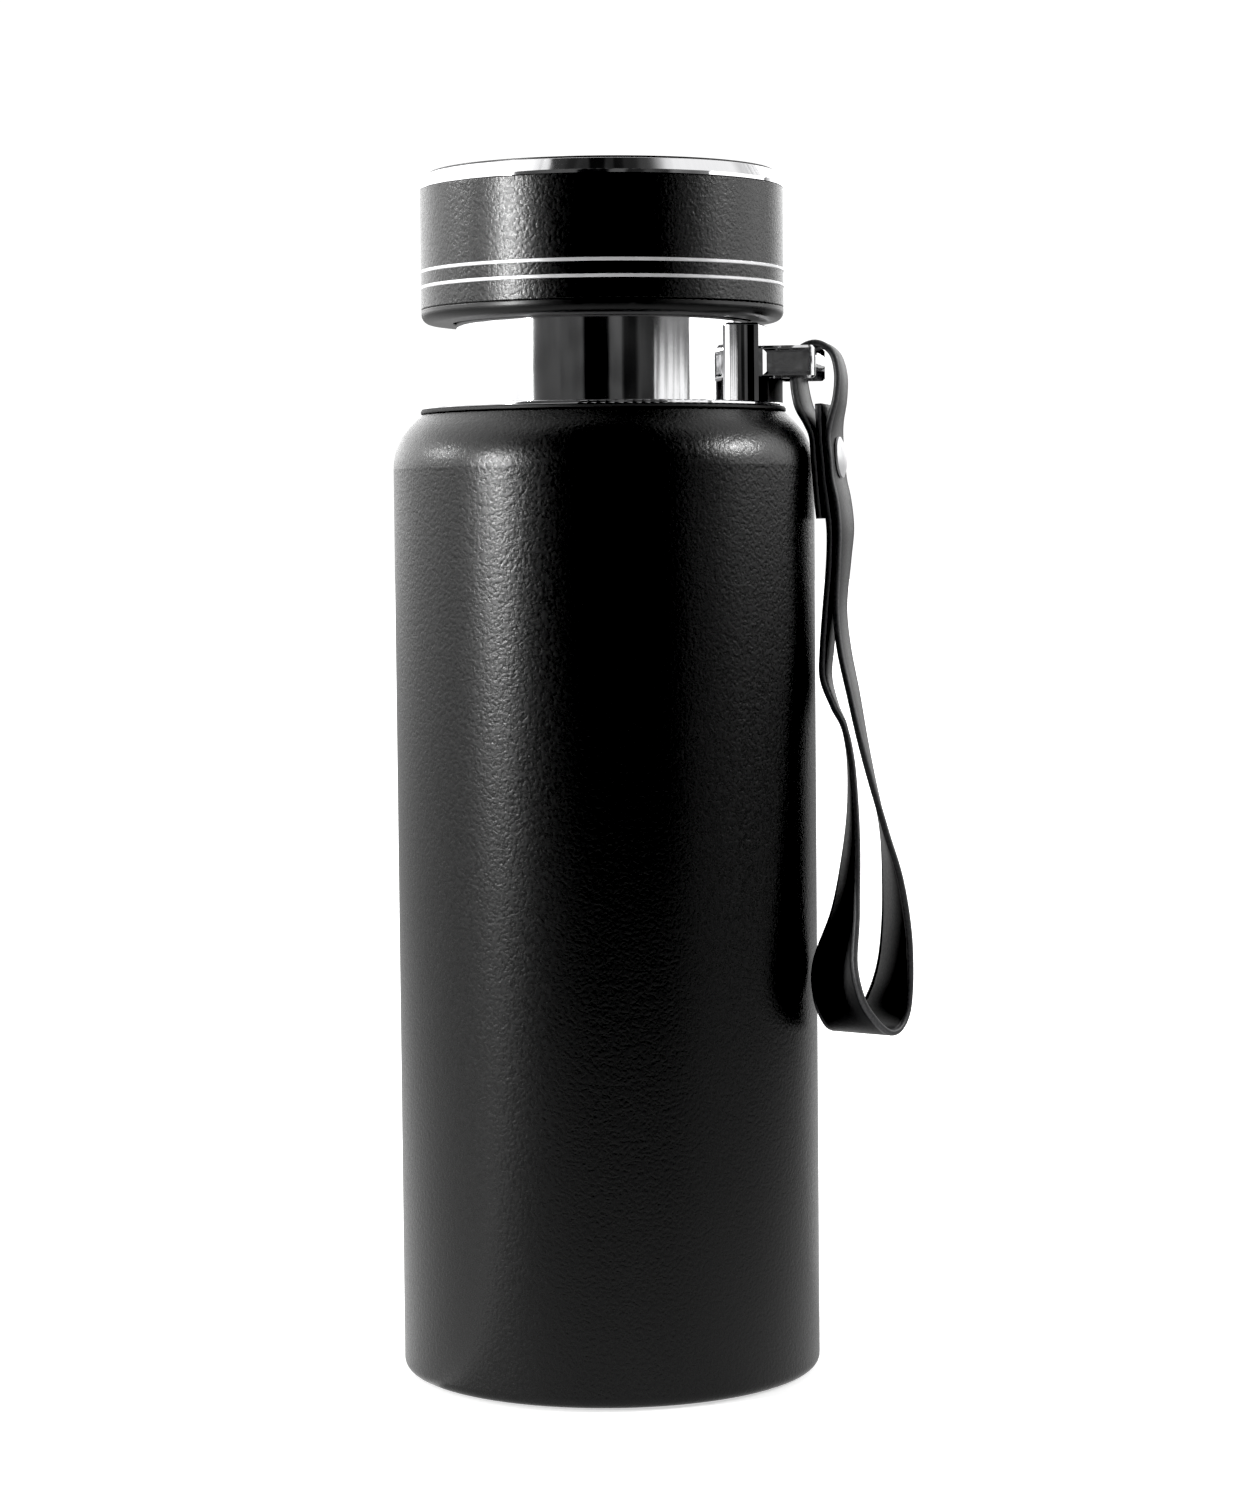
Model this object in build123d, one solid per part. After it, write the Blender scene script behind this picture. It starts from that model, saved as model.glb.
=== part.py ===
from build123d import *
import math
import os

# Insulated water bottle, in millimetres.
# +Z is up along the bottle's axis, the origin is the centre of the base,
# and the carrying lug and its strap are on the +X side.

# --- Steel flask: driving dimensions ---
BODY_R = 41.5             # outside radius of the body
SHELL_WALL = 0.5
BASE_LIP_Z = 0.4          # the shell's rolled edge stands just clear of the table
BASE_LIP_R = 38.6
BASE_ROUND = 2.0
SHOULDER_CORNER_Z = 183.8  # where the straight side would meet the 45 degree shoulder
SHOULDER_ROUND = 12.0
PLATEAU_Z = 189.6
NECK_R = 26.6             # outside radius of the neck
MOUTH_Z = 224.0           # top of the drinking rim

LINER_R = 38.6            # outside radius of the inner flask
LINER_WALL = 0.4
LINER_FLOOR_Z = 7.5
LINER_SHOULDER_Z = 177.5
LINER_NECK_Z = 186.5
LINER_NECK_R = 25.2

# --- Chrome collar, lug and strap bar ---
COLLAR_R = 28.8
COLLAR_TOP_Z = 208.0
COLLAR_BORE_GAP = 0.1
SEAT_RING_H = 0.7
FLANGE_R = 35.9
FLANGE_H = 0.8
LUG_HALF_WIDTH = 9.5
LUG_X = (32.2, 43.1)      # from the collar's boss to the outer end
LUG_Z = (195.6, 201.9)
SLOT_X = (35.3, 40.5)
SLOT_HALF_WIDTH = 7.7
BOSS_TOP_Z = 206.4
BOSS_ROOT_R = 6.5          # the hollow curve from the sleeve into the boss
BAR_X, BAR_Z = 42.0, 199.3  # axis of the bar that the strap hangs on
BAR_WIDTH, BAR_HEIGHT = 2.2, 3.5

# --- Screw cap ---
CAP_R = 35.65
CAP_TOP_Z = 236.8
TOP_RING_Z = 236.3        # top of the chrome ring, under the disc's thin lip
CAP_BOTTOM_Z = 207.3
CAP_SHELL_Z = (210.0, 233.4)
CAP_SHELL_WALL = 2.1
CAP_LINE_Z = {"lower": 214.25, "upper": 217.3}  # the two bright lines
CAP_LINE_H = 0.7
CAP_LINE_DEPTH = 1.0
THREAD_PITCH = 5.0
THREAD_TURNS = 1.25
THREAD_START_Z = 213.0
SKIRT_BORE_R = 28.2       # inside of the cap's threaded skirt
PLUG_R = 23.6
PLUG_BOTTOM_Z = 212.0
SEAL_H = 1.4

# --- Strap ---
STRAP_WIDTH = 14.0
STRAP_THICKNESS = 1.3
RIVET_R = 4.0
RIVET_POST_R = 1.5
RIVET_GAP = 0.15          # between the rivet's faces and the strap
# The strap's path: x, y, z of its middle, and its twist about Z in degrees.
# It starts at the inner end under the lug, runs down, round the hand loop and up
# again, over the lug's bar and down between the bar and the bottle.
STRAP_STATIONS = [
    (43.7, 0.0, 190.7, -3),
    (44.18, 0.0, 184.3, -5),
    (44.5, 0.0, 180.3, -5),
    (44.82, 0.0, 176.3, -5),
    (45.4, 0.0, 171.8, -5),
    (45.9, 0.0, 166.0, -4),
    (45.6, 0.0, 159.1, -3),
    (44.8, 0.0, 151.2, -2),
    (44.1, -0.2, 143.2, -1),
    (43.9, -0.5, 137.3, 1),
    (45.6, -0.8, 131.8, 5),
    (47.6, -1.3, 127.4, 7),
    (48.8, -1.6, 120.9, 8),
    (49.2, -2.4, 111.8, 11),
    (48.9, -4.2, 102.2, 17),
    (48.0, -7.0, 92.1, 25),
    (46.4, -10.6, 82.4, 41),
    (47.2, -11.6, 75.9, 51),
    (49.0, -9.4, 71.3, 60),
    (50.9, -5.6, 68.6, 65),
    (53.1, -1.2, 69.0, 58),
    (55.3, 2.3, 72.8, 45),
    (56.7, 3.7, 79.4, 34),
    (57.1, 3.6, 88.2, 27),
    (56.5, 2.5, 98.3, 19),
    (55.0, 1.5, 107.4, 9),
    (52.7, 0.3, 117.4, 5),
    (50.8, -0.8, 126.4, 2),
    (49.2, -0.5, 134.4, 0),
    (47.4, -0.2, 143.3, -1),
    (46.7, 0.0, 151.2, -1),
    (47.3, 0.0, 160.1, -3),
    (47.7, 0.0, 166.5, -5),
    (47.2, 0.0, 172.0, -5),
    (46.32, 0.0, 176.3, -5),
    (46.0, 0.0, 180.3, -5),
    (45.68, 0.0, 184.3, -5),
    (46.0, 0.0, 187.6, -3),
    (46.9, 0.0, 191.9, -1),
    (47.1, 0.0, 196.6, 0),
    (45.9, 0.0, 200.6, 1),
    (42.9, 0.0, 202.4, 0),
    (39.8, 0.0, 201.0, -1),
    (38.8, 0.0, 197.2, -3),
    (39.7, 0.0, 190.8, -5),
    (41.6, 0.0, 187.0, -5),
    (42.68, 0.0, 184.3, -5),
    (43.0, 0.0, 180.3, -5),
    (43.32, 0.0, 176.3, -5),
    (43.6, 0.0, 172.4, -5),
    (43.9, 0.0, 168.5, -4),
]
OUTER_RIVET_STATION = 35
INNER_RIVET_STATION = 47
STEPS_BETWEEN_STATIONS = 3


def turned(*corners):
    """A solid turned about Z from (radius, height) or (radius, height, rounding) corners."""
    points = [(corner[0], 0, corner[1]) for corner in corners]
    rounding = [corner[2] if len(corner) == 3 else 0 for corner in corners]
    if any(rounding):
        outline = FilletPolyline(*points, radius=rounding, close=True)
    else:
        outline = Polyline(*points, close=True)
    return revolve(make_face(outline.edges()), Axis.Z)


def ring(inner_r, outer_r, bottom, top, rounding=0):
    """A plain ring, with its outer corners rounded."""
    return turned((inner_r, bottom), (outer_r, bottom, rounding), (outer_r, top, rounding), (inner_r, top))


def disc(radius, bottom, top, rounding=0):
    """A plain disc, with its rim rounded."""
    return turned((0, bottom), (radius, bottom, rounding), (radius, top, rounding), (0, top))


def thread_ridge(root_r, crest_r, start_z):
    """One helical ridge: a trapezoid that follows the thread's helix."""
    root_half, crest_half = 1.0, 0.5
    path = Helix(THREAD_PITCH, THREAD_PITCH * THREAD_TURNS, root_r, center=(0, 0, start_z))
    section = Polyline(
        (root_r, 0, start_z - root_half),
        (crest_r, 0, start_z - crest_half),
        (crest_r, 0, start_z + crest_half),
        (root_r, 0, start_z + root_half),
        close=True,
    )
    return sweep(make_face(section.edges()), path=path, is_frenet=True)


# --- Flask ---

def outer_shell():
    """The body, shoulder and neck in one drawn steel skin, open at the bottom."""
    shoulder_edge_r = BODY_R - (PLATEAU_Z - SHOULDER_CORNER_Z)
    skew = SHELL_WALL * math.tan(math.radians(22.5))  # how far a 45 degree bend shifts inside
    inside_r = BODY_R - SHELL_WALL
    skin = turned(
        (BASE_LIP_R, BASE_LIP_Z),
        (BODY_R, BASE_LIP_Z, BASE_ROUND),
        (BODY_R, SHOULDER_CORNER_Z, SHOULDER_ROUND),
        (shoulder_edge_r, PLATEAU_Z, 0.8),
        (NECK_R, PLATEAU_Z, 1.0),
        (NECK_R, MOUTH_Z - LINER_WALL),
        (NECK_R - SHELL_WALL, MOUTH_Z - LINER_WALL),
        (NECK_R - SHELL_WALL, PLATEAU_Z - SHELL_WALL, 1.7),
        (shoulder_edge_r - skew, PLATEAU_Z - SHELL_WALL, 0.3),
        (inside_r, SHOULDER_CORNER_Z - skew, SHOULDER_ROUND - SHELL_WALL),
        (inside_r, BASE_LIP_Z + SHELL_WALL, BASE_ROUND - SHELL_WALL),
        (BASE_LIP_R, BASE_LIP_Z + SHELL_WALL),
    )
    return skin + thread_ridge(NECK_R - 0.3, NECK_R + 1.2, THREAD_START_Z)


def inner_flask():
    """The drinking vessel: body, shoulder, neck and the rim welded to the shell's neck."""
    inner_r = LINER_R - LINER_WALL
    neck_inner_r = LINER_NECK_R - LINER_WALL
    return turned(
        (0, LINER_FLOOR_Z),
        (LINER_R, LINER_FLOOR_Z, 6.0),
        (LINER_R, LINER_SHOULDER_Z, 9.0),
        (LINER_NECK_R, LINER_NECK_Z, 3.0),
        (LINER_NECK_R, MOUTH_Z - LINER_WALL),
        (NECK_R, MOUTH_Z - LINER_WALL),
        (NECK_R, MOUTH_Z, 0.2),
        (neck_inner_r, MOUTH_Z, 0.2),
        (neck_inner_r, LINER_NECK_Z - 0.3, 3.5),
        (inner_r, LINER_SHOULDER_Z - 0.3, 8.5),
        (inner_r, LINER_FLOOR_Z + LINER_WALL, 5.5),
        (0, LINER_FLOOR_Z + LINER_WALL),
    )


def radiation_foil():
    """Bright foil wrapped once round the inner flask, in the vacuum space."""
    foil_r = LINER_R + 0.1
    return ring(foil_r, foil_r + 0.15, LINER_FLOOR_Z + 8, LINER_SHOULDER_Z - 6)


def vacuum_base():
    """The shell's true bottom: a dished disc welded inside it, with a pump-out hole."""
    rim_r = BODY_R - SHELL_WALL - 0.05
    return turned(
        (2.5, 4.0),
        (rim_r, 4.0, 0.8),
        (rim_r, 7.0),
        (rim_r - 0.6, 7.0),
        (rim_r - 0.6, 4.6, 0.2),
        (2.5, 4.6),
    )


def seal_bead():
    """The solder bead that closes the pump-out hole."""
    return turned((0, 3.0), (4.5, 3.0, 0.6), (4.5, 4.0), (2.4, 4.0), (2.4, 4.6), (0, 4.6))


def getter():
    """The gas-absorbing pellet in its cup under the inner flask."""
    return disc(7.0, LINER_FLOOR_Z - 2.0, LINER_FLOOR_Z, 0.4)


def base_cover():
    """The plate that closes the bottom and lies on the shell's rolled edge."""
    return disc(39.3, BASE_LIP_Z + SHELL_WALL, BASE_LIP_Z + SHELL_WALL + 0.6)


def base_pad():
    """The non-slip disc that the bottle stands on."""
    return disc(BASE_LIP_R - 0.6, 0, BASE_LIP_Z + SHELL_WALL, 0.3)


# --- Collar and lug ---

def collar_seat_ring():
    """The soft black ring between the shoulder and the collar's flange."""
    return ring(COLLAR_R, FLANGE_R + 0.1, PLATEAU_Z, PLATEAU_Z + SEAT_RING_H, 0.2)


def neck_collar():
    """The chrome collar: sleeve, flange, and the boss that carries the lug."""
    bottom = PLATEAU_Z + SEAT_RING_H
    bore = Cylinder(NECK_R + COLLAR_BORE_GAP, 100)
    flange = ring(NECK_R, FLANGE_R, bottom, bottom + FLANGE_H, 0.25)
    sleeve = ring(NECK_R, COLLAR_R, bottom, COLLAR_TOP_Z, 0.2)
    boss_plan = Circle(COLLAR_R - 0.1) + Pos(LUG_X[0] / 2, 0) * Rectangle(LUG_X[0], 2 * LUG_HALF_WIDTH)
    roots = boss_plan.vertices().filter_by_position(Axis.X, 20, LUG_X[0] - 1)
    boss = extrude(Pos(0, 0, bottom) * fillet(roots, BOSS_ROOT_R), BOSS_TOP_Z - bottom)
    boss = fillet(boss.edges().filter_by_position(Axis.Z, BOSS_TOP_Z, BOSS_TOP_Z), 0.5)
    return flange + sleeve + boss - Pos(0, 0, 200) * bore


def side_panel(side):
    """The shallow sunk panel with sloping edges in one side of the lug."""
    length, height, depth = 9.2, 4.9, 0.6
    middle = ((LUG_X[0] + LUG_X[1]) / 2, side * LUG_HALF_WIDTH, sum(LUG_Z) / 2)
    face = Plane(origin=middle, x_dir=(1, 0, 0), z_dir=(0, -side, 0))
    return extrude(face * Rectangle(length, height), depth, taper=45)


def strap_lug():
    """The cast loop that the strap goes through: two cheeks and a rounded bar."""
    length = LUG_X[1] - LUG_X[0]
    height = LUG_Z[1] - LUG_Z[0]
    corner = (LUG_X[0], -LUG_HALF_WIDTH, LUG_Z[0])
    block = Pos(*corner) * Box(length, 2 * LUG_HALF_WIDTH, height, align=Align.MIN)
    block = fillet(block.edges().filter_by(Axis.Z).sort_by(Axis.X)[-2:], 1.4)
    block = chamfer(block.faces().sort_by(Axis.Z)[-1].edges().sort_by(Axis.X)[1:], 0.5)
    block = chamfer(block.faces().sort_by(Axis.Z)[0].edges().sort_by(Axis.X)[1:], 0.5)
    slot_corner = (SLOT_X[0], -SLOT_HALF_WIDTH, LUG_Z[0])
    slot = Pos(*slot_corner) * Box(length, 2 * SLOT_HALF_WIDTH, height, align=Align.MIN)
    bar_plane = Plane(origin=(BAR_X, 0, BAR_Z), x_dir=(0, 0, 1), z_dir=(0, 1, 0))
    bar_section = SlotOverall(BAR_HEIGHT, BAR_WIDTH)
    bar = extrude(bar_plane * bar_section, SLOT_HALF_WIDTH + 0.5, both=True)
    return block - slot - side_panel(1) - side_panel(-1) + bar


def lug_block():
    """The black block that fills the space between the flange and the lug."""
    bottom = PLATEAU_Z + SEAT_RING_H + FLANGE_H
    corner = (LUG_X[0] + 0.05, -LUG_HALF_WIDTH + 0.1, bottom)
    size = (FLANGE_R - LUG_X[0], 2 * LUG_HALF_WIDTH - 0.2, LUG_Z[0] - bottom)
    block = Pos(*corner) * Box(*size, align=Align.MIN)
    block = block & Pos(0, 0, bottom) * Cylinder(FLANGE_R - 0.5, 20)
    return fillet(block.edges().filter_by(Axis.Z).sort_by(Axis.X)[-2:], 0.4)


# --- Cap ---

def cap_shell():
    """The cap's black sleeve, with two grooves for the bright lines."""
    bottom, top = CAP_SHELL_Z
    sleeve = ring(CAP_R - CAP_SHELL_WALL, CAP_R, bottom, top, 0.25)
    for middle in CAP_LINE_Z.values():
        low, high = middle - CAP_LINE_H / 2, middle + CAP_LINE_H / 2
        sleeve -= ring(CAP_R - CAP_LINE_DEPTH, CAP_R + 1, low, high)
    return sleeve


def cap_line(middle):
    """One thin bright ring set into the sleeve."""
    half = CAP_LINE_H / 2
    return ring(CAP_R - CAP_LINE_DEPTH, CAP_R + 0.1, middle - half, middle + half, 0.15)


def cap_top_ring():
    """The chrome bevelled ring on the cap's top edge."""
    bottom = CAP_SHELL_Z[1]
    return turned(
        (32.7, bottom),
        (CAP_R, bottom),
        (CAP_R, bottom + 0.6, 0.3),
        (34.2, TOP_RING_Z, 0.15),
        (32.7, TOP_RING_Z),
    )


def cap_top_disc():
    """The black disc set in the chrome ring, with a thin lip over it and a very slight crown."""
    lip = TOP_RING_Z + 0.02
    return turned(
        (0, 234.2),
        (32.6, 234.2),
        (32.6, lip),
        (33.9, lip),
        (33.9, CAP_TOP_Z - 0.1, 0.2),
        (0, CAP_TOP_Z),
    )


def cap_bottom_ring():
    """The black ring under the sleeve that closes the cap round the collar."""
    top = CAP_SHELL_Z[0]
    return turned((29.4, CAP_BOTTOM_Z, 0.3), (CAP_R, CAP_BOTTOM_Z, 1.9), (CAP_R, top, 0.25), (29.4, top))


def cap_liner():
    """The moulded inside of the cap: threaded skirt, and plug for the foam."""
    ceiling = MOUTH_Z + SEAL_H
    skirt_r = CAP_R - CAP_SHELL_WALL - 0.1
    bottom = CAP_SHELL_Z[0] + 0.1
    body = turned(
        (SKIRT_BORE_R, bottom),
        (skirt_r, bottom),
        (skirt_r, 233.3),
        (32.0, 233.3),
        (32.0, 227.4, 0.8),
        (PLUG_R - 1.4, 227.4),
        (PLUG_R - 1.4, PLUG_BOTTOM_Z + 1.4, 2.0),
        (0, PLUG_BOTTOM_Z + 1.4),
        (0, PLUG_BOTTOM_Z),
        (PLUG_R, PLUG_BOTTOM_Z, 3.0),
        (PLUG_R, ceiling, 0.5),
        (SKIRT_BORE_R, ceiling),
    )
    return body + thread_ridge(SKIRT_BORE_R + 0.3, SKIRT_BORE_R - 1.25, THREAD_START_Z - 1.5)


def cap_insulation():
    """The foam that fills the plug and the cap's head."""
    floor = PLUG_BOTTOM_Z + 1.45
    plug_r = PLUG_R - 1.45
    return turned(
        (0, floor),
        (plug_r, floor, 2.0),
        (plug_r, 227.45),
        (31.9, 227.45, 0.8),
        (31.9, 234.15),
        (0, 234.15),
    )


def cap_seal():
    """The silicone ring between the rim and the cap's ceiling."""
    return ring(LINER_NECK_R - 0.2, SKIRT_BORE_R - 0.7, MOUTH_Z, MOUTH_Z + SEAL_H, 0.2)


# --- Strap ---

def strap_course():
    """The stations joined by smooth curves, as closely spaced points of the same kind."""
    course = []
    last = len(STRAP_STATIONS) - 1
    for index in range(last):
        nearby = [STRAP_STATIONS[min(max(index + shift, 0), last)] for shift in (-1, 0, 1, 2)]
        for step in range(STEPS_BETWEEN_STATIONS):
            course.append(eased(nearby, step / STEPS_BETWEEN_STATIONS))
    return course + [STRAP_STATIONS[last]]


def eased(nearby, share):
    """A point between the middle two of four stations, on a curve through all of them."""
    point = []
    for before, here, following, beyond in zip(*nearby):
        slope_in, slope_out = (following - before) / 2, (beyond - here) / 2
        rise = following - here
        square, cube = share**2, share**3
        point.append(
            here
            + slope_in * (cube - 2 * square + share)
            + slope_out * (cube - square)
            + rise * (3 * square - 2 * cube)
        )
    return tuple(point)


def strap_plane(course, index):
    """The strap's cross-section plane: X across its width, Y through its thickness."""
    x, y, z, twist = course[index]
    before = Vector(*course[max(index - 1, 0)][:3])
    after = Vector(*course[min(index + 1, len(course) - 1)][:3])
    along = (after - before).normalized()
    angle = math.radians(twist)
    across = Vector(math.sin(angle), -math.cos(angle), 0)
    across = across - along * across.dot(along)
    return Plane(origin=(x, y, z), x_dir=across, z_dir=along)


def rivet_plane(index):
    """The plane of the strap's face at a rivet station, facing away from the bottle."""
    section = strap_plane(STRAP_STATIONS, index)
    outward = section.y_dir if section.y_dir.X > 0 else -section.y_dir
    return Plane(origin=section.origin, x_dir=section.x_dir, z_dir=outward)


def rivet_hole():
    """The hole for the rivet's post through all three layers."""
    return rivet_plane(OUTER_RIVET_STATION) * Cylinder(RIVET_POST_R + 0.05, 14)


def strap():
    """One flat strip, lofted from section to section."""
    section = Rectangle(STRAP_WIDTH, STRAP_THICKNESS)
    course = strap_course()
    wires = [(strap_plane(course, i) * section).wire() for i in range(len(course))]
    return Solid.make_loft(wires, ruled=True) - rivet_hole()


def rivet_length():
    """From the middle of the outer layer to the back of the inner one."""
    outer = STRAP_STATIONS[OUTER_RIVET_STATION]
    inner = STRAP_STATIONS[INNER_RIVET_STATION]
    return outer[0] - inner[0] + STRAP_THICKNESS / 2


def rivet_cap():
    """The domed chrome head on the strap's outer face."""
    dome_height, rim = 1.3, 0.4
    dome_r = (RIVET_R**2 + (dome_height - rim) ** 2) / (2 * (dome_height - rim))
    dome = Pos(0, 0, dome_height - dome_r) * Sphere(dome_r)
    head = dome & Cylinder(RIVET_R, dome_height, align=(Align.CENTER, Align.CENTER, Align.MIN))
    face = rivet_plane(OUTER_RIVET_STATION)
    return face * Pos(0, 0, STRAP_THICKNESS / 2 + RIVET_GAP) * head


def rivet_post():
    """The post through the layers, with its flat back plate."""
    reach = rivet_length() + RIVET_GAP
    front = STRAP_THICKNESS / 2 + RIVET_GAP
    up = (Align.CENTER, Align.CENTER, Align.MIN)
    post = Pos(0, 0, -reach) * Cylinder(RIVET_POST_R, reach + front, align=up)
    plate = Pos(0, 0, -reach - 0.5) * Cylinder(RIVET_R - 0.7, 0.5, align=up)
    return rivet_plane(OUTER_RIVET_STATION) * (post + plate)


os.makedirs("parts", exist_ok=True)

nodes = {
    "outer_shell": outer_shell(),
    "inner_flask": inner_flask(),
    "radiation_foil": radiation_foil(),
    "vacuum_base": vacuum_base(),
    "seal_bead": seal_bead(),
    "getter": getter(),
    "base_cover": base_cover(),
    "base_pad": base_pad(),
    "collar_seat_ring": collar_seat_ring(),
    "neck_collar": neck_collar(),
    "strap_lug": strap_lug(),
    "lug_block": lug_block(),
    "cap_shell": cap_shell(),
    "cap_top_ring": cap_top_ring(),
    "cap_top_disc": cap_top_disc(),
    "cap_bottom_ring": cap_bottom_ring(),
    "cap_liner": cap_liner(),
    "cap_insulation": cap_insulation(),
    "cap_seal": cap_seal(),
    "strap": strap(),
    "rivet_cap": rivet_cap(),
    "rivet_post": rivet_post(),
}
for place, height in CAP_LINE_Z.items():
    nodes[f"cap_line_{place}"] = cap_line(height)

for name, shape in nodes.items():
    export_step(shape, f"parts/{name}.step")
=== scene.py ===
import math

import bmesh
import bpy
from mathutils import Matrix, Vector


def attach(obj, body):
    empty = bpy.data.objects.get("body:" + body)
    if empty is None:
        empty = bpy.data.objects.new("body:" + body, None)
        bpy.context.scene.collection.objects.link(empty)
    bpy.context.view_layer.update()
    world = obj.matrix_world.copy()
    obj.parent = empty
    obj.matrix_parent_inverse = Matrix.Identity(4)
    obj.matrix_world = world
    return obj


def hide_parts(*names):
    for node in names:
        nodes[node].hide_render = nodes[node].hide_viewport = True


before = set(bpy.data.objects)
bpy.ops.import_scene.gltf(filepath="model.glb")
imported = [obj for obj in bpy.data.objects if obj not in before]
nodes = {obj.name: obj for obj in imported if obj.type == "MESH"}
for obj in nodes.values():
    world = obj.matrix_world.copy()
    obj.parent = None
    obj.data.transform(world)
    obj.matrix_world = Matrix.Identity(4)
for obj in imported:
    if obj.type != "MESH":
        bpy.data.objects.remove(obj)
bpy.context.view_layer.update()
scene = bpy.context.scene

MM = 0.001

# --- Strap, in millimetres and degrees: the same course as the CAD strap ---
STRAP_WIDTH = 14.0
STRAP_THICKNESS = 1.3
STEPS_BETWEEN_STATIONS = 6
STRAP_STATIONS = [
    (43.7, 0.0, 190.7, -3),
    (44.18, 0.0, 184.3, -5),
    (44.5, 0.0, 180.3, -5),
    (44.82, 0.0, 176.3, -5),
    (45.4, 0.0, 171.8, -5),
    (45.9, 0.0, 166.0, -4),
    (45.6, 0.0, 159.1, -3),
    (44.8, 0.0, 151.2, -2),
    (44.1, -0.2, 143.2, -1),
    (43.9, -0.5, 137.3, 1),
    (45.6, -0.8, 131.8, 5),
    (47.6, -1.3, 127.4, 7),
    (48.8, -1.6, 120.9, 8),
    (49.2, -2.4, 111.8, 11),
    (48.9, -4.2, 102.2, 17),
    (48.0, -7.0, 92.1, 25),
    (46.4, -10.6, 82.4, 41),
    (47.2, -11.6, 75.9, 51),
    (49.0, -9.4, 71.3, 60),
    (50.9, -5.6, 68.6, 65),
    (53.1, -1.2, 69.0, 58),
    (55.3, 2.3, 72.8, 45),
    (56.7, 3.7, 79.4, 34),
    (57.1, 3.6, 88.2, 27),
    (56.5, 2.5, 98.3, 19),
    (55.0, 1.5, 107.4, 9),
    (52.7, 0.3, 117.4, 5),
    (50.8, -0.8, 126.4, 2),
    (49.2, -0.5, 134.4, 0),
    (47.4, -0.2, 143.3, -1),
    (46.7, 0.0, 151.2, -1),
    (47.3, 0.0, 160.1, -3),
    (47.7, 0.0, 166.5, -5),
    (47.2, 0.0, 172.0, -5),
    (46.32, 0.0, 176.3, -5),
    (46.0, 0.0, 180.3, -5),
    (45.68, 0.0, 184.3, -5),
    (46.0, 0.0, 187.6, -3),
    (46.9, 0.0, 191.9, -1),
    (47.1, 0.0, 196.6, 0),
    (45.9, 0.0, 200.6, 1),
    (42.9, 0.0, 202.4, 0),
    (39.8, 0.0, 201.0, -1),
    (38.8, 0.0, 197.2, -3),
    (39.7, 0.0, 190.8, -5),
    (41.6, 0.0, 187.0, -5),
    (42.68, 0.0, 184.3, -5),
    (43.0, 0.0, 180.3, -5),
    (43.32, 0.0, 176.3, -5),
    (43.6, 0.0, 172.4, -5),
    (43.9, 0.0, 168.5, -4),
]

# --- Camera, in metres and degrees: the photographer's view ---
BOTTLE_TURN = 10.0        # how far the strap's side is turned towards the camera
CAMERA_DISTANCE = 0.71869
CAMERA_HEIGHT = 0.16584
CAMERA_PITCH, CAMERA_YAW, CAMERA_ROLL = 3.41, 0.29, -0.54
SENSOR_MM = 36.0
LENS_MM = 87.05

# --- Room, for reflections ---
# Bearings are in degrees from the camera's side, positive to the left; levels go from 0 to 1
ROOM_LEVELS = [
    (-180, 0.55), (180, 0.55), (-150, 0.50), (-134, 0.30), (-126, 0.035), (-66, 0.055), (-46, 0.050),
    (-42, 0.012), (-28, 0.016), (-26, 0.006), (-16, 0.006), (-14, 0.026), (-6, 0.024), (-4, 0.003),
    (14, 0.003), (16, 0.026), (56, 0.020), (58.5, 1.0), (62, 1.0), (66, 0.44), (85, 0.46), (110, 0.58),
    (150, 0.62),
]
ROOM_STRENGTH = 4.0
# Heights are the upward part of a direction, from 0 level to 1 straight up
LOW_WALLS = (0.0, 0.08)         # walls brighten over these heights
HIGH_WALLS = (0.35, 0.7)        # and dim over these
CEILING_LEVEL = 0.25
CEILING_EDGE = (0.5, 0.65)      # the ceiling begins over these heights
CEILING_HOLE = (0.86, 0.93)     # and dims overhead
CAMERA_SHADE = (0.16, 0.24)     # it also dims where a direction points this much to the camera's side
WINDOW_BEARING = -55.0
WINDOW_LEVEL = 0.28
WINDOW_SIDES = (0.965, 0.97)    # how much a direction points to the window at its edge
WINDOW_TOP = (0.044, 0.052)
BACKDROP = 1.1                  # what the camera sees behind the bottle

# --- Floor ---
FLOOR_RADIUS = 12.0
FLOOR_SHARE = 0.2               # the part of the room's glow that reflections see in the floor
FLOOR_NEARBY = (0.62, 0.05)     # added to it near the bottle and farther out
NEARBY_SPAN = (0.06, 0.9)
FLOOR_GLOW = (0.58, 1.2)        # near the bottle and farther out, as the camera sees it
GLOW_SPAN = (0.06, 0.4)

# --- Lights: name, bearing, distance, height, height aimed at, size, watts ---
LIGHTS = [
    ("left_strip", 59, 0.9, 0.325, 0.325, (0.046, 0.22), 5.0),
    ("right_panel", -97, 0.9, 0.50, 0.50, (0.9, 0.56), 2.8),
    ("right_lamp", -81, 0.8, 0.545, 0.18, (0.24, 0.09), 3.5),
    ("left_lamp", 99, 0.8, 0.425, 0.18, (0.2, 0.05), 1.2),
]
BLACK_LEVEL = 0.010             # deepens the blacks, as in the photograph


# --- Camera ---

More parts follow.
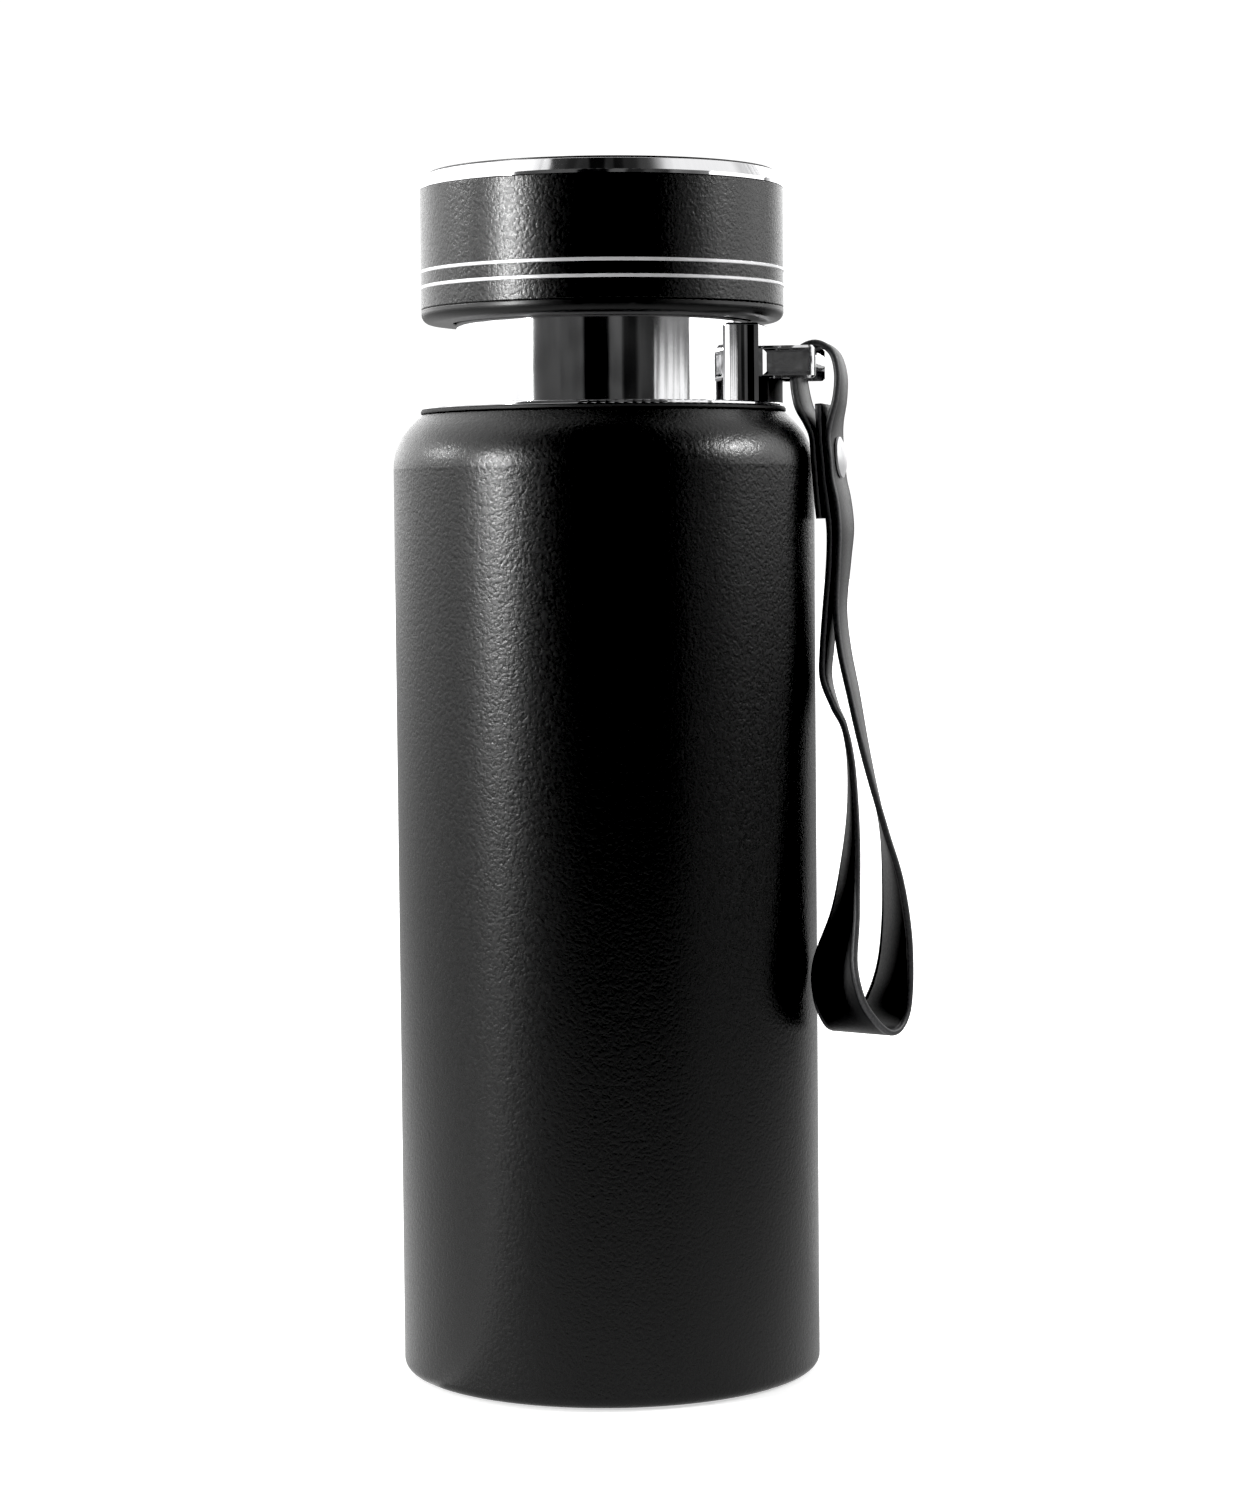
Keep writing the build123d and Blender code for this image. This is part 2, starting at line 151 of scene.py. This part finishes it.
def add_camera():
    """A long lens, nearly level, from the front and a little to the strap's side."""
    pitch, yaw, roll = (math.radians(angle) for angle in (CAMERA_PITCH, CAMERA_YAW, CAMERA_ROLL))
    forward = Vector((
        math.sin(yaw) * math.cos(pitch), math.cos(yaw) * math.cos(pitch), -math.sin(pitch)))
    right = forward.cross(Vector((0, 0, 1))).normalized()
    up = right.cross(forward)
    across = math.cos(roll) * right + math.sin(roll) * up
    upright = -math.sin(roll) * right + math.cos(roll) * up
    turn = Matrix.Rotation(math.radians(BOTTLE_TURN), 4, "Z")
    place = turn @ Matrix.Translation((0, -CAMERA_DISTANCE, CAMERA_HEIGHT))
    axes = Matrix((across, upright, -forward)).transposed().to_4x4()
    data = bpy.data.cameras.new("view")
    data.sensor_width = SENSOR_MM
    data.lens = LENS_MM
    data.clip_start = 0.01
    data.clip_end = 100
    data.dof.use_dof = False
    camera = bpy.data.objects.new("view", data)
    camera.matrix_world = place @ axes
    scene.collection.objects.link(camera)
    scene.camera = camera


# --- Materials ---

NOISE_SPAN = (0.3, 0.7)   # where most of a noise texture's values lie


def grey(level):
    """A neutral colour."""
    return (level, level, level)


def new_material(name):
    """An empty node material with its Principled shader and object coordinates."""
    material = bpy.data.materials.new(name)
    material.use_nodes = True
    tree = material.node_tree
    shader = tree.nodes["Principled BSDF"]
    where = tree.nodes.new("ShaderNodeTexCoord")
    return material, tree, shader, where.outputs["Object"]


def noise(tree, where, size, detail=2.0, stretch=(1, 1, 1), roughness=0.5):
    """Noise whose features are about this many metres across."""
    mapping = tree.nodes.new("ShaderNodeMapping")
    mapping.inputs["Scale"].default_value = stretch
    tree.links.new(where, mapping.inputs["Vector"])
    texture = tree.nodes.new("ShaderNodeTexNoise")
    texture.inputs["Scale"].default_value = 1 / size
    texture.inputs["Detail"].default_value = detail
    texture.inputs["Roughness"].default_value = roughness
    tree.links.new(mapping.outputs["Vector"], texture.inputs["Vector"])
    return texture.outputs["Fac"]


def spread(tree, value, low, high, start=NOISE_SPAN[0], end=NOISE_SPAN[1]):
    """The value stretched from start..end to low..high."""
    node = tree.nodes.new("ShaderNodeMapRange")
    node.inputs["From Min"].default_value = start
    node.inputs["From Max"].default_value = end
    node.inputs["To Min"].default_value = low
    node.inputs["To Max"].default_value = high
    tree.links.new(value, node.inputs["Value"])
    return node.outputs["Result"]


def added(tree, first, second):
    """The sum of two values."""
    node = tree.nodes.new("ShaderNodeMath")
    node.operation = "ADD"
    tree.links.new(first, node.inputs[0])
    tree.links.new(second, node.inputs[1])
    return node.outputs["Value"]


def scaled(tree, value, factor):
    """The value times a factor, which is a number or another value."""
    node = tree.nodes.new("ShaderNodeMath")
    node.operation = "MULTIPLY"
    tree.links.new(value, node.inputs[0])
    if isinstance(factor, (int, float)):
        node.inputs[1].default_value = factor
    else:
        tree.links.new(factor, node.inputs[1])
    return node.outputs["Value"]


def tint(tree, value, dark, light):
    """A colour that goes from dark to light with the noise value."""
    ramp = tree.nodes.new("ShaderNodeValToRGB")
    for element, position, colour in zip(ramp.color_ramp.elements, NOISE_SPAN, (dark, light)):
        element.position = position
        element.color = (*colour, 1)
    tree.links.new(value, ramp.inputs["Fac"])
    return ramp.outputs["Color"]


def add_bump(tree, shader, height, distance, strength=1.0, under=None):
    """A bump of this depth in metres, on top of another one if it is given."""
    bump = tree.nodes.new("ShaderNodeBump")
    bump.inputs["Distance"].default_value = distance
    bump.inputs["Strength"].default_value = strength
    tree.links.new(height, bump.inputs["Height"])
    if under:
        tree.links.new(under, bump.inputs["Normal"])
    tree.links.new(bump.outputs["Normal"], shader.inputs["Normal"])
    return bump.outputs["Normal"]


def surface(name, dark, light, rough, grain, depth, metallic=0.0, stretch=(1, 1, 1),
            patch=30 * MM, wax=0.0):
    """A general finish: mottled colour, uneven gloss, and a fine grain."""
    material, tree, shader, where = new_material(name)
    patches = noise(tree, where, patch, 4.0)
    fine = noise(tree, where, grain, 3.0, stretch)
    tree.links.new(tint(tree, patches, dark, light), shader.inputs["Base Color"])
    gloss = added(tree, spread(tree, patches, *rough), spread(tree, fine, -0.03, 0.03))
    tree.links.new(gloss, shader.inputs["Roughness"])
    shader.inputs["Metallic"].default_value = metallic
    shader.inputs["Subsurface Weight"].default_value = wax
    shader.inputs["Subsurface Radius"].default_value = (2 * MM,) * 3
    add_bump(tree, shader, fine, depth)
    return material


def powder_coat():
    """Black powder coat: small rounded bumps, broken up by wrinkles and finer grit."""
    material, tree, shader, where = new_material("powder_coat")
    cells = tree.nodes.new("ShaderNodeTexVoronoi")
    cells.feature = "SMOOTH_F1"
    cells.inputs["Scale"].default_value = 1 / (0.95 * MM)
    cells.inputs["Smoothness"].default_value = 0.7
    tree.links.new(where, cells.inputs["Vector"])
    wrinkles = noise(tree, where, 0.62 * MM, 2.0, roughness=0.55)
    grit = noise(tree, where, 0.22 * MM, 2.0)
    patches = noise(tree, where, 30 * MM, 4.0)
    tree.links.new(tint(tree, patches, grey(0.0022), grey(0.0036)), shader.inputs["Base Color"])
    tree.links.new(spread(tree, wrinkles, 0.23, 0.33), shader.inputs["Roughness"])
    low = add_bump(tree, shader, cells.outputs["Distance"], 0.04 * MM, 0.5)
    middle = add_bump(tree, shader, wrinkles, 0.085 * MM, 0.85, low)
    add_bump(tree, shader, grit, 0.02 * MM, 0.6, middle)
    return material


def chrome(name, rough, wave_size, wave_depth):
    """Polished plating with fine swirl marks, a slight waviness and dulled patches."""
    material, tree, shader, where = new_material(name)
    patches = noise(tree, where, 12 * MM, 4.0)
    swirls = noise(tree, where, 0.25 * MM, 2.0, (1, 1, 0.15))
    waves = noise(tree, where, wave_size, 1.0)
    plating = tint(tree, patches, (0.80, 0.80, 0.81), (0.88, 0.88, 0.89))
    tree.links.new(plating, shader.inputs["Base Color"])
    tree.links.new(spread(tree, patches, *rough), shader.inputs["Roughness"])
    shader.inputs["Metallic"].default_value = 1.0
    wave = add_bump(tree, shader, waves, wave_depth, 0.5)
    add_bump(tree, shader, swirls, 0.0015 * MM, 0.5, wave)
    return material


def strap_finish():
    """Smooth black strip with a leather-like grain; its rims get a painted highlight, a paler colour
    standing in for the light their rounded edges catch.
    """
    material, tree, shader, where = new_material("strap_finish")
    edge_highlight = tree.nodes.new("ShaderNodeAttribute")
    edge_highlight.attribute_name = "edge_highlight"
    grain = noise(tree, where, 0.5 * MM, 4.0, roughness=0.6)
    patches = noise(tree, where, 9 * MM, 4.0)
    body = tint(tree, patches, (0.010, 0.010, 0.0103), (0.018, 0.018, 0.0185))
    # Painted highlight: the rims are paler, standing in for the light their rounded edges catch.
    painted_edge_highlight = tint(tree, grain, (0.05, 0.05, 0.052), (0.11, 0.11, 0.113))
    mix = tree.nodes.new("ShaderNodeMix")
    mix.data_type = "RGBA"
    tree.links.new(edge_highlight.outputs["Fac"], mix.inputs["Factor"])
    tree.links.new(body, mix.inputs["A"])
    tree.links.new(painted_edge_highlight, mix.inputs["B"])
    tree.links.new(mix.outputs["Result"], shader.inputs["Base Color"])
    tree.links.new(spread(tree, grain, 0.38, 0.52), shader.inputs["Roughness"])
    low = add_bump(tree, shader, patches, 0.08 * MM, 0.4)
    add_bump(tree, shader, grain, 0.03 * MM, 0.6, low)
    return material


def finish_nodes():
    """Gives every CAD node its finish."""
    coat = powder_coat()
    bright = chrome("chrome", rough=(0.035, 0.07), wave_size=14 * MM, wave_depth=0.04 * MM)
    cast = chrome("cast_chrome", rough=(0.04, 0.08), wave_size=4 * MM, wave_depth=0.16 * MM)
    silver = surface(
        "silver_inlay", (0.72, 0.72, 0.73), (0.84, 0.84, 0.85), rough=(0.28, 0.38),
        grain=0.3 * MM, depth=0.004 * MM, metallic=0.35, patch=4 * MM)
    rubber = surface(
        "black_rubber", grey(0.003), grey(0.006), rough=(0.5, 0.65), grain=0.4 * MM, depth=0.01 * MM)
    gloss = surface(
        "black_smooth", grey(0.003), grey(0.005), rough=(0.28, 0.38), grain=0.5 * MM, depth=0.012 * MM)
    moulded = surface(
        "black_moulded", grey(0.014), grey(0.02), rough=(0.45, 0.6), grain=0.6 * MM, depth=0.02 * MM)
    steel = surface(
        "satin_steel", (0.50, 0.49, 0.48), (0.62, 0.61, 0.60), rough=(0.22, 0.34),
        grain=0.3 * MM, depth=0.004 * MM, metallic=1.0, stretch=(1, 1, 6), patch=50 * MM)
    foil = surface(
        "bright_foil", grey(0.82), grey(0.9), rough=(0.12, 0.22),
        grain=4 * MM, depth=0.2 * MM, metallic=1.0)
    foam = surface(
        "white_foam", (0.72, 0.70, 0.64), (0.82, 0.80, 0.75), rough=(0.8, 0.9),
        grain=1.2 * MM, depth=0.2 * MM)
    silicone = surface(
        "clear_silicone", (0.62, 0.62, 0.60), (0.72, 0.72, 0.70), rough=(0.35, 0.45),
        grain=0.8 * MM, depth=0.01 * MM, wax=0.3)
    finishes = {
        "outer_shell": coat, "cap_shell": coat,
        "neck_collar": bright, "cap_top_ring": bright, "strap_lug": cast,
        "cap_line_upper": silver, "cap_line_lower": silver, "rivet_cap": silver,
        "collar_seat_ring": rubber, "lug_block": rubber, "base_pad": rubber,
        "cap_top_disc": gloss, "cap_bottom_ring": gloss, "cap_liner": moulded,
        "inner_flask": steel, "vacuum_base": steel, "seal_bead": steel, "getter": steel,
        "base_cover": steel, "rivet_post": steel,
        "radiation_foil": foil, "cap_insulation": foam, "cap_seal": silicone,
    }
    for name, material in finishes.items():
        for holder in nodes[name].material_slots:
            holder.material = material


# --- Strap ---

def eased(nearby, share):
    """A point between the middle two of four stations, on a curve through all of them."""
    point = []
    for before, here, following, beyond in zip(*nearby):
        slope_in, slope_out = (following - before) / 2, (beyond - here) / 2
        square, cube = share**2, share**3
        point.append(
            here
            + slope_in * (cube - 2 * square + share)
            + slope_out * (cube - square)
            + (following - here) * (3 * square - 2 * cube)
        )
    return tuple(point)


def strap_course():
    """The stations joined by smooth curves."""
    course = []
    last = len(STRAP_STATIONS) - 1
    for index in range(last):
        nearby = [STRAP_STATIONS[min(max(index + shift, 0), last)] for shift in (-1, 0, 1, 2)]
        for step in range(STEPS_BETWEEN_STATIONS):
            course.append(eased(nearby, step / STEPS_BETWEEN_STATIONS))
    return course + [STRAP_STATIONS[last]]


def strap_section():
    """The strip's outline, as across and out in millimetres, and how much painted edge highlight each
    point gets.

    It has rounded rims beside a shallow crease."""
    half, thick = STRAP_WIDTH / 2, STRAP_THICKNESS / 2
    # Each point's third number is its share of the painted edge highlight.
    upper_right = [   # from the face, through the crease, round the rim
        (half - 1.5, thick - 0.02, 0.0),
        (half - 1.15, thick - 0.16, 0.0),
        (half - 0.9, thick - 0.05, 0.7),
        (half - 0.6, thick, 1.0),
        (half - 0.25, thick - 0.08, 1.0),
        (half - 0.06, thick - 0.28, 0.9),
        (half, thick - 0.5, 0.4),
    ]
    lower_right = [(across, -out, edge_highlight) for across, out, edge_highlight in reversed(upper_right)]
    lower_left = [(-across, -out, edge_highlight) for across, out, edge_highlight in upper_right]
    upper_left = [(-across, out, edge_highlight) for across, out, edge_highlight in reversed(upper_right)]
    return upper_right + lower_right + lower_left + upper_left


def build_strap():
    """The finished strap, which stands in the plain CAD strap's place."""
    course = strap_course()
    outline = strap_section()
    points = [Vector(station[:3]) for station in course]
    mesh = bpy.data.meshes.new("strap_band")
    vertices, edge_highlights = [], []
    for index, station in enumerate(course):
        before, after = points[max(index - 1, 0)], points[min(index + 1, len(points) - 1)]
        along = (after - before).normalized()
        angle = math.radians(station[3])
        across = Vector((math.sin(angle), -math.cos(angle), 0))
        across = (across - along * across.dot(along)).normalized()
        out = along.cross(across)
        for offset, lift, edge_highlight in outline:
            vertices.append((points[index] + across * offset + out * lift) * MM)
            edge_highlights.append(edge_highlight)
    count = len(outline)
    faces = []
    for row in range(len(course) - 1):
        for side in range(count):
            following = (side + 1) % count
            faces.append((row * count + side, row * count + following,
                          (row + 1) * count + following, (row + 1) * count + side))
    last_row = (len(course) - 1) * count
    faces.append(tuple(reversed(range(count))))
    faces.append(tuple(last_row + side for side in range(count)))
    mesh.from_pydata(vertices, [], faces)
    # Each point's share of the painted edge highlight, read by the strap finish.
    edge_highlight_layer = mesh.attributes.new("edge_highlight", "FLOAT", "POINT")
    edge_highlight_layer.data.foreach_set("value", edge_highlights)
    shell = bmesh.new()
    shell.from_mesh(mesh)
    bmesh.ops.recalc_face_normals(shell, faces=shell.faces)
    shell.to_mesh(mesh)
    shell.free()
    mesh.polygons.foreach_set("use_smooth", [len(face.vertices) == 4 for face in mesh.polygons])
    band = bpy.data.objects.new("strap_band", mesh)
    scene.collection.objects.link(band)
    band.data.materials.append(strap_finish())
    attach(band, "strap")
    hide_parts("strap")


# --- Studio ---

def around(bearing, distance, height):
    """A place at a bearing from the camera's side, clockwise seen from above being to the left."""
    angle = math.radians(BOTTLE_TURN - 90 - bearing)
    return (distance * math.cos(angle), distance * math.sin(angle), height)


def towards(tree, direction, bearing):
    """How much a direction points to a bearing, from 1 straight at it to -1 away from it."""
    dot = tree.nodes.new("ShaderNodeVectorMath")
    dot.operation = "DOT_PRODUCT"
    dot.inputs[1].default_value = around(bearing, 1, 0)
    tree.links.new(direction, dot.inputs[0])
    return dot.outputs["Value"]


def room_glow(tree, direction):
    """How bright the room is at each bearing, in ROOM_LEVELS."""
    bearing = tree.nodes.new("ShaderNodeMath")
    bearing.operation = "ARCTAN2"
    tree.links.new(towards(tree, direction, 90), bearing.inputs[0])
    tree.links.new(towards(tree, direction, 0), bearing.inputs[1])
    position = spread(tree, bearing.outputs["Value"], 0, 1, -math.pi, math.pi)
    ramp = tree.nodes.new("ShaderNodeValToRGB")
    elements = ramp.color_ramp.elements   # a new ramp has two, its ends
    for index, (degrees, level) in enumerate(ROOM_LEVELS):
        place = (degrees + 180) / 360
        element = elements[index] if index < 2 else elements.new(place)
        element.position = place
        element.color = (*grey(level), 1)
    tree.links.new(position, ramp.inputs["Fac"])
    return ramp.outputs["Color"]


def for_camera(tree, reflected, seen, output):
    """Shows the camera one shader and everything else the other."""
    path = tree.nodes.new("ShaderNodeLightPath")
    mix = tree.nodes.new("ShaderNodeMixShader")
    tree.links.new(path.outputs["Is Camera Ray"], mix.inputs["Fac"])
    tree.links.new(reflected, mix.inputs[1])
    tree.links.new(seen, mix.inputs[2])
    tree.links.new(mix.outputs["Shader"], tree.nodes[output].inputs["Surface"])


def add_floor():
    """A pale floor, lit for the camera, with the room's glow in what reflections see of it."""
    bpy.ops.mesh.primitive_circle_add(vertices=96, radius=FLOOR_RADIUS, fill_type="NGON")
    floor = bpy.context.object
    floor.name = "floor"
    material, tree, shader, where = new_material("floor_white")
    length = tree.nodes.new("ShaderNodeVectorMath")
    length.operation = "LENGTH"
    tree.links.new(where, length.inputs[0])
    distance = length.outputs["Value"]
    shader.inputs["Base Color"].default_value = (*grey(0.8), 1)
    shader.inputs["Roughness"].default_value = 0.6
    shader.inputs["Specular IOR Level"].default_value = 0.1
    shader.inputs["Emission Color"].default_value = (*grey(1), 1)
    tree.links.new(spread(tree, distance, *FLOOR_GLOW, *GLOW_SPAN), shader.inputs["Emission Strength"])
    far = scaled(tree, room_glow(tree, where), FLOOR_SHARE * ROOM_STRENGTH)
    near = spread(tree, distance, *FLOOR_NEARBY, *NEARBY_SPAN)
    reflected = tree.nodes.new("ShaderNodeEmission")
    tree.links.new(added(tree, far, near), reflected.inputs["Strength"])
    for_camera(tree, reflected.outputs["Emission"], shader.outputs["BSDF"], "Material Output")
    floor.data.materials.append(material)


def add_lights():
    """Soft area lights that the camera itself doesn't see."""
    for name, bearing, distance, height, aim_height, size, strength in LIGHTS:
        data = bpy.data.lights.new(name, "AREA")
        data.shape = "RECTANGLE"
        data.size, data.size_y = size
        data.energy = strength
        lamp = bpy.data.objects.new(name, data)
        lamp.location = around(bearing, distance, height)
        direction = Vector((0, 0, aim_height)) - lamp.location
        lamp.rotation_euler = direction.to_track_quat("-Z", "Y").to_euler()
        lamp.visible_camera = False
        scene.collection.objects.link(lamp)


def add_world():
    """White behind the bottle for the camera; walls, ceiling and a window for reflections."""
    world = bpy.data.worlds.new("studio")
    world.use_nodes = True
    scene.world = world
    tree = world.node_tree
    where = tree.nodes.new("ShaderNodeTexCoord").outputs["Generated"]
    parts = tree.nodes.new("ShaderNodeSeparateXYZ")
    tree.links.new(where, parts.inputs[0])
    height = parts.outputs["Z"]
    clutter = noise(tree, where, 0.25, 1.5, (1, 1, 45))
    walls = scaled(tree, room_glow(tree, where), spread(tree, height, 1.0, 0.25, *HIGH_WALLS))
    walls = scaled(tree, walls, spread(tree, height, 0.5, 1.0, *LOW_WALLS))
    walls = scaled(tree, walls, spread(tree, clutter, 0.7, 1.3, 0.47, 0.53))
    ceiling = spread(tree, height, 0.0, CEILING_LEVEL, *CEILING_EDGE)
    ceiling = scaled(tree, ceiling, spread(tree, towards(tree, where, 0), 1.0, 0.08, *CAMERA_SHADE))
    ceiling = scaled(tree, ceiling, spread(tree, height, 1.0, 0.12, *CEILING_HOLE))
    panes = noise(tree, where, 0.05, 2.0, (1, 1, 2))
    window = spread(tree, towards(tree, where, WINDOW_BEARING), 0.0, WINDOW_LEVEL, *WINDOW_SIDES)
    window = scaled(tree, window, spread(tree, height, 1.0, 0.0, *WINDOW_TOP))
    window = scaled(tree, window, spread(tree, panes, 0.15, 1.0, 0.44, 0.52))
    total = added(tree, walls, added(tree, ceiling, window))
    room = tree.nodes["Background"]
    room.inputs["Color"].default_value = (*grey(1), 1)
    tree.links.new(scaled(tree, total, ROOM_STRENGTH), room.inputs["Strength"])
    white = tree.nodes.new("ShaderNodeBackground")
    white.inputs["Color"].default_value = (*grey(1), 1)
    white.inputs["Strength"].default_value = BACKDROP
    for_camera(tree, room.outputs["Background"], white.outputs["Background"], "World Output")


def deepen_blacks():
    """The plain view transform, with the darkest tones pulled down."""
    scene.view_settings.view_transform = "Standard"
    scene.view_settings.use_curve_mapping = True
    curve = scene.view_settings.curve_mapping
    curve.black_level = grey(BLACK_LEVEL)
    curve.update()


add_camera()
finish_nodes()
build_strap()
add_floor()
add_lights()
add_world()
deepen_blacks()
